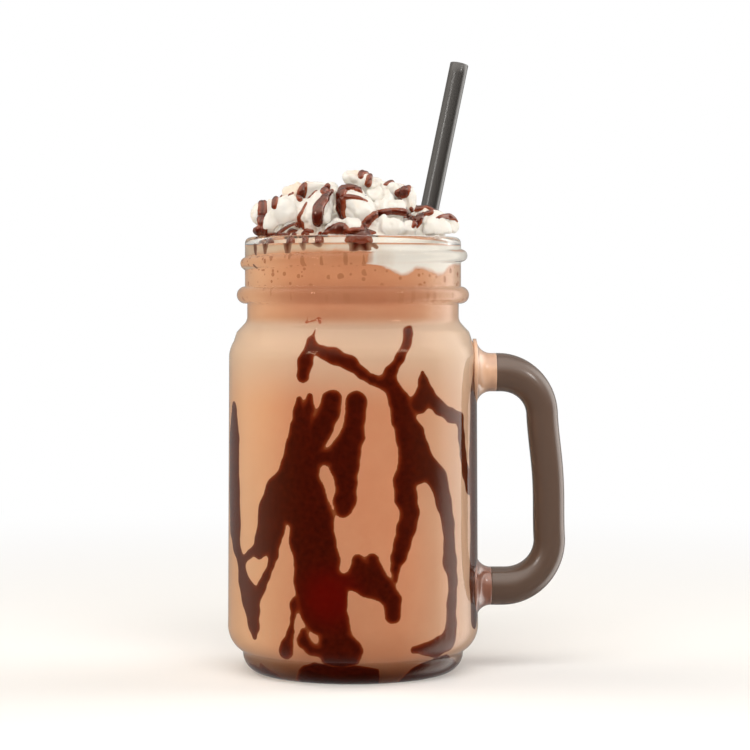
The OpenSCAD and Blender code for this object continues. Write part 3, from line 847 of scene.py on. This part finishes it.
# each film: name, field, degrees round, heights, cell, lift into the glass, material, depth behind
filmTable = [
    ("wallSauceFront", frontField, (-102, 102), (5, 112), 0.42, 0.14, wallSauce, 0.7),
    ("wallSauceBack", backField, (103, 257), (5, 112), 0.42, 0.14, wallSauce, 0.7),
    ("sauceSmear", smearField, (-32, -12), (108, 116), 0.3, 0.10, thinSauce, 0.7),
    ("saucePool", poolField, (0, 360), (-27.7, 12), 0.5, 0.12, wallSauce, 0.7),
    ("lipSauce", lipField, (-90, 270), (128, jarTop - lip), 0.3, 0.16, lipStain, 1.0),
    ("creamBand", creamField, (-90, 270), (124, jarTop - lip - 0.3), 0.5, 0.10, stainedCream, 2.0),
]
films = [wallFilm(*row) for row in filmTable]
print("sauce on the glass")


strawLook = dict(radius=3.0, wall=0.3, foot=(-5.1, -0.9), rest=(23.1, 14.4), length=197.0,
                 lift=0.75, bevel=0.08, rings=60, columns=64)


def strawTube():
    # a tube: rings foot + reach * along + radius * (cos a side + sin a up), out along its outside,
    # round its cut end and back along its inside
    foot = np.array([*strawLook["foot"], jar["floor"]])
    rest = np.array([*strawLook["rest"], jarTop])
    along = (rest - foot) / np.linalg.norm(rest - foot)
    length, rings, bevel = strawLook["length"], strawLook["rings"], strawLook["bevel"]
    outside = np.linspace(0.2, length - 0.1, rings)
    r, w = strawLook["radius"], strawLook["wall"]
    reach = np.concatenate([[bevel], outside, [length, length], outside[::-1], [bevel]])
    radii = np.concatenate([[r - w / 2], np.full(rings, r), [r - bevel], [r - w + bevel],
                            np.full(rings, r - w), [r - w / 2]])
    side = np.cross(along, [0, 1, 0])
    side /= np.linalg.norm(side)
    up = np.cross(along, side)
    columns = strawLook["columns"]
    a = np.arange(columns) * 2 * np.pi / columns
    start = foot + np.array([0, 0, strawLook["lift"]])
    ring = (start + reach[:, None, None] * along + radii[:, None, None] * (
        np.cos(a)[None, :, None] * side + np.sin(a)[None, :, None] * up))
    quads = gridQuads(len(reach), columns, True)
    last = (len(reach) - 1) * columns
    k = np.arange(columns)
    seam = np.stack([last + k, last + (k + 1) % columns, (k + 1) % columns, k], axis=1)
    return ring.reshape(-1, 3), quads[:, ::-1].tolist() + seam[:, ::-1].tolist()


points, faces = strawTube()
straw = makeMesh("drinkingStraw", points, faces, blackPlastic)
print("straw")


def smoothPath(points, count):
    # Catmull-Rom curve through the points, with every column carried along
    p = np.array(points, dtype=float)
    p = np.vstack([2 * p[0] - p[1], p, 2 * p[-1] - p[-2]])
    u = np.linspace(0, len(p) - 3 - 1e-9, count)
    i = np.floor(u).astype(int)
    t = (u - i)[:, None]
    a, b, c, d = p[i], p[i + 1], p[i + 2], p[i + 3]
    return 0.5 * (2 * b + (c - a) * t + (2 * a - 5 * b + 4 * c - d) * t ** 2
                  + (3 * b - a - 3 * c + d) * t ** 3)


def dollop(points, flat, rings=48, columns=40):
    # a rope of cream through points [x, y, z, radius], with round ends and a section that is
    # flat times as deep as it is tall
    path = smoothPath(points, rings)
    run = np.concatenate([[0], np.cumsum(np.linalg.norm(np.diff(path[:, :3], axis=0), axis=1))])
    first, last = path[0, 3], path[-1, 3]
    ends = (1 - np.clip(1 - run / first, 0, 1) ** 2) * (
        1 - np.clip(1 - (run[-1] - run) / last, 0, 1) ** 2)
    radius = path[:, 3] * np.sqrt(np.clip(ends, 0.0004, 1))

    def oval(angle):
        # radius of an ellipse that is flat deep and 1 tall
        return 1 / np.sqrt((np.cos(angle) / flat) ** 2 + np.sin(angle) ** 2)

    return sweep(path[:, :3], radius, columns, (0.1, 1, 0.05), oval)


heap = dict(voxel=0.475, plugRadius=29.9, plugFoot=126.5, domeFoot=136.5, domeRadius=28.5,
            domeHeight=9.5, foldFrom=137.5, foldFull=140, overLip=0.6, clear=0.25, around=96)
# Folds of the cream, each [how far it moves the skin out, its size, its seed, its upright squash]
folds = dict(swell=[0.4, 5.0, 32, 1], fold=[0.25, 3.4, 31, 0.45], crease=[0.2, 1.7, 34, 0.6],
             frill=[1.25, 6.5, 41, 0.55], grain=[0.09, 0.9, 33, 1])
frills = dict(perWave=1.5, level=0.6)
# Lobes of cream, each [x, y, z, radius] along its length, and how flat it is
lobes = dict(
    leftKnob=([[-30, -5, 143, 3], [-27.8, -6, 146.6, 3.4], [-23.5, -4, 148, 3]], 0.9),
    leaf=([[-28, -20, 141, 0.9], [-24.6, -22.5, 143.8, 2.8], [-20.8, -23, 147, 3.9],
           [-17.8, -20.5, 148.2, 2.8], [-15.6, -18, 148.8, 1]], 0.5),
    leafTop=([[-22.8, -14, 149.4, 1.8], [-20.5, -15, 150, 2], [-17.5, -15, 149.8, 1.8]], 0.9),
    backRope=([[-22.5, -6, 150.4, 2.6], [-18, -6, 152.2, 3], [-13, -7, 153, 2.8],
               [-8, -8, 153, 2.6], [-4.5, -7, 154.2, 2]], 0.9),
    midLeft=([[-15, -15, 150, 2.6], [-15, -19, 146.5, 3.2], [-17, -22, 142.5, 3.2]], 0.9),
    slope=([[-8.5, -14, 152, 2.6], [-10.4, -19, 148.5, 4.4], [-12, -22, 144.4, 4.6],
            [-12.5, -24, 141, 3.6]], 0.8),
    stub=([[-3, -3, 157.6, 1.9], [0.5, -3, 157.4, 2.3], [4, -2.5, 156, 2.6],
           [9, -2, 153.4, 3.4]], 1.0),
    shoulderFold=([[8.6, -3, 153, 2.7], [13, -4, 153.6, 2.5], [16.8, -5, 152.6, 2.4],
                   [17.8, -6, 149.6, 2.4], [18, -8, 146.5, 2.2]], 1.0),
    centre=([[-4, -12, 152.4, 3], [-0.5, -16, 149.4, 4.8], [3, -19, 145.8, 4.6],
             [5, -22, 142, 4]], 0.85),
    centreLow=([[-8, -24, 140, 3], [-2, -25, 141, 3.4], [3, -25, 140.5, 3.2]], 0.8),
    saddle=([[3.8, -8, 151.5, 4.2], [9, -10, 149.4, 4.6], [13.5, -9, 149.8, 3.8]], 1.0),
    saddleLow=([[6, -16, 147, 3.6], [11, -16, 147.2, 3.2], [16, -14, 147, 2.8]], 0.9),
    moundLeft=([[7.8, -21, 138.5, 3.4], [9.2, -22, 141.6, 3.5], [11, -21, 143.6, 3]], 0.9),
    moundMid=([[12.4, -24, 138, 3.8], [13, -24, 141.5, 3.8], [13.4, -22, 143.6, 3]], 0.9),
    moundRight=([[17.4, -21, 138, 3.2], [17, -21, 141.2, 3.2], [15.6, -20, 143.2, 3]], 0.9),
    ruffleBack=([[22, -15, 142.5, 2.8], [26, -16, 144, 2.4], [29.6, -14, 144.2, 2.2],
                 [32, -11, 142.4, 2]], 0.8),
    ruffleLeft=([[22.6, -20, 139, 2.2], [24.4, -20, 142, 2.2], [26, -18, 143.6, 1.8]], 0.8),
    ruffleMid=([[26, -21, 139, 2.6], [28.4, -20, 141.4, 2.6], [29, -18, 143.4, 1.8]], 0.8),
    ruffleRight=([[30.4, -15.5, 139.6, 2], [31.6, -14, 142, 2], [31, -12, 143.6, 1.6]], 0.8),
    byStraw=([[20.5, -10, 144.6, 2.6], [21, -12, 141.5, 3], [21, -14, 138.6, 2.6]], 0.9),
    behindStraw=([[20, 6, 145, 3.2], [26, 4, 143.8, 3], [30, 0, 141.5, 2.4]], 0.9),
    lipLeft=([[-29, -9, 139, 2.2], [-28, -11, 141.2, 2.8], [-26, -13, 142.4, 2.6]], 0.9),
)


backLobes = dict(
    places=((5, -2), (62, 0.4), (86, -0.8), (108, 0.6), (131, -0.5), (152, 0.5), (172, -1)),
    reach=((28.6, 140, 3), (26, 143.6, 4.4), (19, 147.4, 4.6), (12, 150, 3.6)), bend=9, flat=0.95)


def ringLobe(azimuth, swell):
    # a lobe on the far side: climbs from the rim in towards the middle of the heap
    a = math.radians(azimuth)
    bend = math.radians(backLobes["bend"])
    return [[r * math.cos(a + k * bend), r * math.sin(a + k * bend), z + swell, size]
            for k, (r, z, size) in enumerate(backLobes["reach"])]


def heapPlug():
    # the round body under the lobes: straight inside the mouth, then a low dome
    a = np.linspace(0, 90, 16)
    dome = np.stack([heap["domeRadius"] * np.cos(np.radians(a)),
                     heap["domeFoot"] + heap["domeHeight"] * np.sin(np.radians(a))], axis=1)
    return np.vstack([[[0, heap["plugFoot"]], [heap["plugRadius"], heap["plugFoot"]],
                       [heap["plugRadius"], heap["domeFoot"]]], dome[:-1], [[0, dome[-1, 1]]]])


def applyModifier(piece, kind, **values):
    # adds a modifier with the given values and makes it part of the mesh
    modifier = piece.modifiers.new(kind.lower(), kind)
    for key, value in values.items():
        setattr(modifier, key, value)
    bpy.context.view_layer.objects.active = piece
    bpy.ops.object.modifier_apply(modifier=modifier.name)


def pointsOf(mesh):
    # the mesh's points as rows of x, y, z in millimetres
    values = np.empty(len(mesh.vertices) * 3)
    mesh.vertices.foreach_get("co", values)
    return values.reshape(-1, 3) / mm


def normalsOf(mesh):
    # the normal at each point of the mesh
    values = np.empty(len(mesh.vertices) * 3)
    mesh.vertex_normals.foreach_get("vector", values)
    return values.reshape(-1, 3)


def buildCream():
    # all lobes as one mesh, made one skin by a voxel remesh, then moved along its normals by folds:
    # 1 - 2 |noise| for the folds and creases, and a triangle wave of a noise for the frills
    allPoints, allFaces, count = [], [], 0
    ropes = [dollop(points, flat) for points, flat in lobes.values()]
    ropes += [dollop(ringLobe(*place), backLobes["flat"]) for place in backLobes["places"]]
    for points, faces in ropes:
        allPoints.append(points)
        allFaces += [[i + count for i in face] for face in faces]
        count += len(points)
    lump = makeMesh("whippedCreamHeap", np.vstack(allPoints), allFaces, whippedCream)
    core = lathe("core", heapPlug(), heap["around"], whippedCream)
    bpy.ops.object.select_all(action="DESELECT")
    core.select_set(True)
    lump.select_set(True)
    bpy.context.view_layer.objects.active = lump
    bpy.ops.object.join()
    applyModifier(lump, "REMESH", mode="VOXEL", voxel_size=heap["voxel"] * mm, adaptivity=0)
    applyModifier(lump, "SMOOTH", factor=0.5, iterations=2)
    p = pointsOf(lump.data)
    high = easeStep(heap["foldFrom"], heap["foldFull"], p[:, 2])
    noise = {kind: softNoise(p * np.array([1, 1, squash]), size, seed)
             for kind, (amount, size, seed, squash) in folds.items()}
    fold = 1 - 2 * np.abs(noise["fold"])
    crease = 1 - 2 * np.abs(noise["crease"])
    frill = np.abs((frills["perWave"] * noise["frill"]) % 1 - 0.5) * 2
    shift = (folds["swell"][0] * noise["swell"] + folds["fold"][0] * fold
             + folds["crease"][0] * crease + folds["frill"][0] * (frill - frills["level"])
             + folds["grain"][0] * noise["grain"])
    p = p + normalsOf(lump.data) * (shift * high)[:, None]
    # where the glass is, the cream stays inside it
    r = np.hypot(p[:, 0], p[:, 1])
    most = np.where(p[:, 2] < jarTop + heap["overLip"], mouth - heap["clear"], 99)
    shrink = np.minimum(1, most / np.maximum(r, 0.001))
    p[:, :2] *= shrink[:, None]
    lump.data.vertices.foreach_set("co", metres(p).reshape(-1))
    lump.data.polygons.foreach_set("use_smooth", np.ones(len(lump.data.polygons), dtype=bool))
    lump.data.update()
    return lump


creamHeap = buildCream()
print("cream", len(creamHeap.data.polygons))


# Strings of sauce over the cream as [x, z, half width] seen from the front
frontStrings = dict(
    knobString=[[-28.6, 150, 1.1], [-28.6, 146.5, 1.25], [-28.4, 143, 1.25]],
    knobShort=[[-24, 150.5, 0.8], [-24.4, 147.8, 0.8]],
    ropeDot=[[-19, 152.6, 0.3], [-19.8, 151.6, 0.45]],
    ropeString=[[-15.3, 155, 0.9], [-16.2, 152.6, 1.25], [-16.8, 150.4, 1]],
    ropeSlash=[[-11.5, 152.8, 0.45], [-14, 150.6, 0.5]],
    ropeBlob=[[-8, 154.6, 0.8], [-9.3, 152.4, 0.9]],
    longDrop=[[-6.6, 153.2, 0.5], [-8.4, 151, 1.1], [-10.4, 148, 1.4], [-11, 145.2, 1.5],
              [-10.9, 143, 1.4]],
    leafEdge=[[-14.4, 149, 0.35], [-15.4, 147, 0.5], [-16.8, 144.2, 0.45], [-16, 142.6, 0.8]],
    hook=[[-3.2, 153.4, 1.2], [-3.6, 151, 1.6], [-3.4, 148, 1.7], [-2.5, 145, 1.5]],
    hookUpper=[[-3.4, 153.4, 1.1], [-1, 154.2, 0.9], [1.2, 153.6, 0.95], [2.5, 152.6, 0.6]],
    hookLower=[[-3.4, 150.6, 0.8], [-1, 151, 0.7], [2, 150.5, 0.6], [4.4, 149.6, 0.25]],
    stubEdge=[[-4.2, 158.5, 0.4], [-4, 155.8, 0.6]],
    peakDrop=[[3.4, 160, 0.6], [2.6, 159, 0.8], [2.6, 157.9, 0.7]],
    secondDrop=[[5.8, 159, 0.5], [5, 157, 0.95], [4.9, 155.6, 0.95]],
    thirdDrop=[[13.3, 157, 0.6], [11.6, 156, 0.75], [10, 155.4, 0.35]],
    shoulderBlob=[[17.4, 154.4, 0.8], [16, 152.8, 1.5], [14, 152.6, 0.9]],
    shoulderBlobLow=[[16, 152.6, 1.2], [15.1, 151, 0.8]],
    arch=[[2.6, 139.6, 1.2], [3.7, 142, 1.15], [5.5, 144.3, 1.05], [7.6, 145.6, 0.95],
          [10, 146.2, 0.9], [12.5, 146.5, 0.9], [15, 146.4, 1], [17.1, 145.8, 1], [18.6, 144.5, 1],
          [19.3, 143, 0.85], [18.7, 141.6, 0.45]],
    archBit=[[18.4, 147.6, 0.6], [18.8, 147, 0.5]],
    strawBlob=[[24.4, 146.2, 0.8], [22.2, 145.4, 1.2], [20.6, 144, 1.35], [19.8, 142.2, 0.8]],
    ruffleString=[[26, 144.4, 0.25], [28, 144.9, 0.6], [30.2, 145, 0.75], [31.8, 144.4, 0.6],
                  [32.8, 143.4, 0.25]],
    lipPool=[[-31, 139.4, 0.8], [-30, 140.4, 1.2], [-28.4, 141, 1.1], [-27.8, 139.4, 0.8]],
    lipLine=[[-28, 139.1, 0.6], [-23.6, 139.4, 0.5], [-20, 139.2, 0.4]],
    leafFoot=[[-23.6, 139.6, 0.6], [-21, 141.4, 0.7], [-18.5, 142.4, 0.8], [-16.2, 142.4, 0.8],
              [-15.4, 141.4, 0.6]],
    smallArch=[[-20.4, 139.4, 0.5], [-19.4, 140.4, 0.7], [-17.6, 140.3, 0.5]],
    smallArchTwo=[[-15.6, 139.4, 0.5], [-14.4, 140.3, 0.6], [-12.6, 140.1, 0.45]],
    wedge=[[-9, 139.4, 0.5], [-6.5, 140.6, 1.2], [-4, 141, 1.5], [-2.4, 140.6, 1.2]],
    frontPool=[[-1.8, 139.6, 0.8], [0.6, 140, 1], [3.6, 140, 1], [6.4, 139.6, 0.7]],
    block=[[0.2, 138.2, 2.5], [1.6, 138.2, 2.6], [3.2, 138.2, 2.5]],
    dripOne=[[-27.8, 139.6, 0.7], [-27.8, 137.4, 0.9], [-27.6, 136.4, 0.9]],
    dripTwo=[[-24.6, 139.4, 0.6], [-24.6, 137.4, 0.9], [-24.6, 136.4, 0.9]],
    dripThree=[[-18.4, 139.4, 0.6], [-18.5, 137.4, 1], [-18.5, 136.4, 1]],
    dripFour=[[-14.2, 139.4, 0.5], [-14.2, 137.4, 0.8], [-14.2, 136.4, 0.8]],
    dripFive=[[-10, 139.4, 0.6], [-10, 137.6, 1.1], [-10, 136.6, 1.1]],
)
# Strings of sauce on the far side as [degrees round from the front, distance out, half width]
topStrings = [
    [[175, 30, 1.2], [178, 24, 1.3], [184, 17, 1.2], [195, 11, 1.1]],
    [[150, 30, 1], [152, 24, 1.2], [158, 18, 1.2], [166, 12, 1], [185, 7, 0.9]],
    [[125, 29, 1.3], [128, 23, 1.2], [140, 16, 1.1]],
    [[205, 29.5, 1.2], [207, 23, 1.4], [214, 16, 1.2], [230, 11, 1]],
    [[232, 29, 1.1], [233, 23, 1.3], [240, 16, 1.1], [255, 10, 1]],
    [[100, 28, 1.1], [104, 22, 1.2], [112, 15, 1.1], [135, 9, 0.9]],
    [[150, 6, 0.9], [90, 5, 0.9], [40, 5, 0.8]],
    [[262, 27, 1], [262, 20, 1.1], [268, 14, 1]],
]


drizzleLook = dict(wider=1.22, round=0.75, slope=1.2, sunk=0.45, most=1.3, edge=-0.2, back=0.6,
                   stand=0.02, toneBy=1.2, toneFrom=0.3)


def castOnto(starts, direction, widths):
    # where straight lines from the starts meet the cream, with the widths of those that do
    hits = [creamTree.ray_cast(Vector(start), Vector(direction))[0] for start in metres(starts)]
    met = np.array([hit is not None for hit in hits])
    found = np.array([hit for hit in hits if hit is not None])
    return [np.column_stack([found / mm, widths[met]])] if len(found) > 1 else []


def drizzlePaths():
    # each string as points on the cream [x, y, z, half width]
    paths = []
    for string in frontStrings.values():
        path = smoothPath(string, 12 * len(string))
        starts = np.stack([path[:, 0], np.full(len(path), -60), path[:, 1]], axis=1)
        paths += castOnto(starts, (0, 1, 0), path[:, 2] * drizzleLook["wider"])
    for string in topStrings:
        path = smoothPath(string, 14 * len(string))
        a = np.radians(path[:, 0] - 90)
        starts = np.stack([path[:, 1] * np.cos(a), path[:, 1] * np.sin(a),
                           np.full(len(path), 200)], axis=1)
        paths += castOnto(starts, (0, 0, -1), path[:, 2])
    return paths


def buildDrizzle():
    # a finer copy of the cream's skin near the strings, raised by a round height over each
    # string's width and sunk outside it, with a second skin below and walls between
    fine = creamHeap.copy()
    fine.data = creamHeap.data.copy()
    bpy.context.scene.collection.objects.link(fine)
    applyModifier(fine, "SUBSURF", levels=1, render_levels=1)
    mesh = fine.data
    p = pointsOf(mesh)
    n = normalsOf(mesh)
    quads = np.empty(len(mesh.polygons) * 4, dtype=int)
    mesh.polygons.foreach_get("vertices", quads)
    quads = quads.reshape(-1, 4)
    bpy.data.objects.remove(fine)
    inside = np.full(len(p), -9.0)
    width = np.full(len(p), 1.0)
    for path in drizzlePaths():
        low = path[:, :3].min(axis=0) - 3
        high = path[:, :3].max(axis=0) + 3
        near = np.where(np.all((p > low) & (p < high), axis=1))[0]
        q = p[near]
        best = np.full(len(near), -9.0)
        size = np.full(len(near), 1.0)
        for a, b in zip(path[:-1], path[1:]):
            run = b[:3] - a[:3]
            t = np.clip(((q - a[:3]) @ run) / (run @ run + 1e-9), 0, 1)
            away = np.linalg.norm(q - a[:3] - t[:, None] * run, axis=1)
            half = a[3] + t * (b[3] - a[3])
            better = half - away > best
            best = np.where(better, half - away, best)
            size = np.where(better, half, size)
        better = best > inside[near]
        inside[near] = np.where(better, best, inside[near])
        width[near] = np.where(better, size, width[near])
    share = 1 - np.clip(inside / width, -0.6, 1)
    dome = drizzleLook["round"] * width * np.sqrt(np.clip(1 - share ** 2, 0, 1))
    dome = dome + drizzleLook["stand"]
    rise = np.where(inside > 0, dome, inside * drizzleLook["slope"])
    rise = np.clip(rise, -drizzleLook["sunk"], drizzleLook["most"])
    top = quads[np.any(inside[quads] > drizzleLook["edge"], axis=1)]
    used, faces = slabFaces(top, len(p))
    points = np.vstack([p + n * rise[:, None], p - n * drizzleLook["back"]])
    drizzle = makeMesh("chocolateDrizzle", points[used], faces, glossySauce)
    tone = np.tile(inside, 2)[used] * drizzleLook["toneBy"] + drizzleLook["toneFrom"]
    addDepth(drizzle, tone)
    return drizzle


creamTree = BVHTree.FromPolygons(metres(pointsOf(creamHeap.data)).tolist(),
                                 [list(face.vertices) for face in creamHeap.data.polygons])
drizzle = buildDrizzle()
print("drizzle", len(drizzle.data.polygons))


for piece, node, slotName in [
    (jarGlass, "jar", "glass"), (jarHandle, "jar", "handle_glass"),
    (rootPieces[0], "jar", "glass"), (rootPieces[1], "jar", "glass"),
    (milkshake, "milkshake", "milkshake"), (straw, "straw", "straw"),
    (creamHeap, "whipped_cream", "cream"),
]:
    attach(piece, "root")
    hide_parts(node)
for piece, slotName in zip([*films, drizzle], ["sauce"] * 5 + ["cream", "sauce"]):
    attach(piece, "root")


def softBox(name, centre, aim, size, power, color):
    # a rectangular soft light at the centre that faces the aim
    lamp = bpy.data.lights.new(name, "AREA")
    lamp.shape = "RECTANGLE"
    lamp.size, lamp.size_y = size
    lamp.energy = power
    lamp.color = color
    box = bpy.data.objects.new(name, lamp)
    box.location = centre
    box.rotation_euler = (Vector(aim) - Vector(centre)).to_track_quat("-Z", "Y").to_euler()
    bpy.context.scene.collection.objects.link(box)
    return box


# the two big boxes light the object without being mirrored in it
for name, centre, aim, size, power, color in (
    ("frontFill", (0.0, -1.5, 0.6), (0, 0, 0.08), (1.4, 1.0), 3.8, (1.0, 0.95, 0.90)),
    ("frontTopBox", (0.0, -0.75, 0.95), (0, 0, 0.11), (1.2, 0.6), 11.2, (1.0, 0.96, 0.91)),
):
    softBox(name, centre, aim, size, power, color).visible_glossy = False
# the two small ones show only as glints
for name, centre in (("leftGlint", (-0.62, -0.75, 0.55)), ("rightGlint", (0.7, -0.6, 0.62))):
    glint = softBox(name, centre, (0, 0, 0.1), (0.16, 0.16), 0.9, (1.0, 0.98, 0.95))
    glint.visible_diffuse = False
    glint.visible_transmission = False


roomLook = dict(behind=0.32, front=0.05, right=3.2, left=3.0, overhead=2.1, cool=(1.0, 0.97, 0.93),
                warm=(1.0, 0.92, 0.80), ringColor=(1.0, 0.96, 0.90), mirroredRight=0.8,
                mirroredLeft=0.13)


def buildRoom():
    # the room as a function of the direction: pale behind, dark in front, bright at both sides;
    # each light is a product of smooth steps over the direction's coordinates
    world = bpy.data.worlds.new("room")
    world.use_nodes = True
    bpy.context.scene.world = world
    nodes = world.node_tree.nodes
    look = roomLook
    way = splitAxes(nodes, nodes.new("ShaderNodeTexCoord").outputs["Generated"])

    def step(axis, start, end, low, high):
        # low before the start and high past the end of the stretch on one axis
        return rangeOf(nodes, way[axis], start, end, high, low, smooth=True)

    def product(first, *others):
        # all of them multiplied, one after the other
        for other in others:
            first = vectorOf(nodes, "MULTIPLY", first, other)
        return first

    base = product(step("Y", -0.75, 0.35, look["front"], look["behind"]), look["cool"])
    right = product(step("X", 0.45, 0.85, 0, 1), step("Y", -0.22, 0.12, 0, look["right"]),
                    look["cool"], step("Y", 0.55, 0.85, 1, 0.1))
    left = product(step("X", -0.35, -0.85, 0, 1), step("Y", -0.45, 0.15, 0, look["left"]),
                   look["warm"], step("Y", 0.35, 0.7, 1, 0.1))
    sides = vectorOf(nodes, "ADD", right, left)
    # the ring overhead shows only in reflections, where the sides are weaker
    ring = product(step("Z", -0.02, 0.8, 0, look["overhead"]), step("Y", 0.5, -0.2, 0.15, 1),
                   look["ringColor"])
    weaker = vectorOf(nodes, "ADD", product(right, (look["mirroredRight"],) * 3),
                      product(left, (look["mirroredLeft"],) * 3))
    mirrored = vectorOf(nodes, "ADD", weaker, ring)
    path = nodes.new("ShaderNodeLightPath").outputs
    bounced = addNode(nodes, "Math", {0: path["Is Glossy Ray"], 1: path["Is Transmission Ray"]},
                      operation="SUBTRACT", use_clamp=True).outputs["Value"]
    total = vectorOf(nodes, "ADD", base, mixOf(nodes, bounced, sides, mirrored))
    seen = mixOf(nodes, path["Is Camera Ray"], total, (1, 1, 1, 1))
    feed(nodes["Background"].inputs["Color"], seen)


def paleFloor():
    # pale floor that goes over to plain white for the camera, further from the object
    look = {"Base Color": (0.93, 0.93, 0.93, 1), "Roughness": 0.7}
    material, nodes, shader = newMaterial("paleFloor", look)
    away = vectorOf(nodes, "LENGTH", objectPosition(nodes), result="Value")
    far = rangeOf(nodes, away, 0.07, 0.6, smooth=True)
    camera = nodes.new("ShaderNodeLightPath").outputs["Is Camera Ray"]
    bright = nodes.new("ShaderNodeEmission").outputs["Emission"]
    fade = addNode(nodes, "MixShader", {0: mathOf(nodes, "MULTIPLY", far, camera),
                                        1: shader.outputs["BSDF"], 2: bright})
    feed(nodes["Material Output"].inputs["Surface"], fade.outputs["Shader"])
    return material


buildRoom()

floorLook = dict(half=40, drop=0.0002)
half, drop = floorLook["half"], floorLook["drop"]
floorMesh = bpy.data.meshes.new("floor")
floorMesh.from_pydata([(-half, -half, -drop), (half, -half, -drop), (half, half, -drop),
                       (-half, half, -drop)], [], [(0, 1, 2, 3)])
floorMesh.materials.append(paleFloor())
floor = bpy.data.objects.new("floor", floorMesh)
bpy.context.scene.collection.objects.link(floor)
floor.visible_glossy = False  # so that the glass shows the room right down to its foot

cameraLook = dict(distance=0.78, height=0.1204, lens=117.0, aimX=0.00704, aimZ=0.0948)
cameraData = bpy.data.cameras.new("camera")
cameraData.lens = cameraLook["lens"]
cameraData.sensor_width = 36
camera = bpy.data.objects.new("camera", cameraData)
camera.location = (0, -cameraLook["distance"], cameraLook["height"])
aim = Vector((cameraLook["aimX"], 0, cameraLook["aimZ"])) - camera.location
camera.rotation_euler = aim.to_track_quat("-Z", "Y").to_euler()
bpy.context.scene.collection.objects.link(camera)
bpy.context.scene.camera = camera
bpy.context.scene.view_settings.view_transform = "Standard"
print("room set")
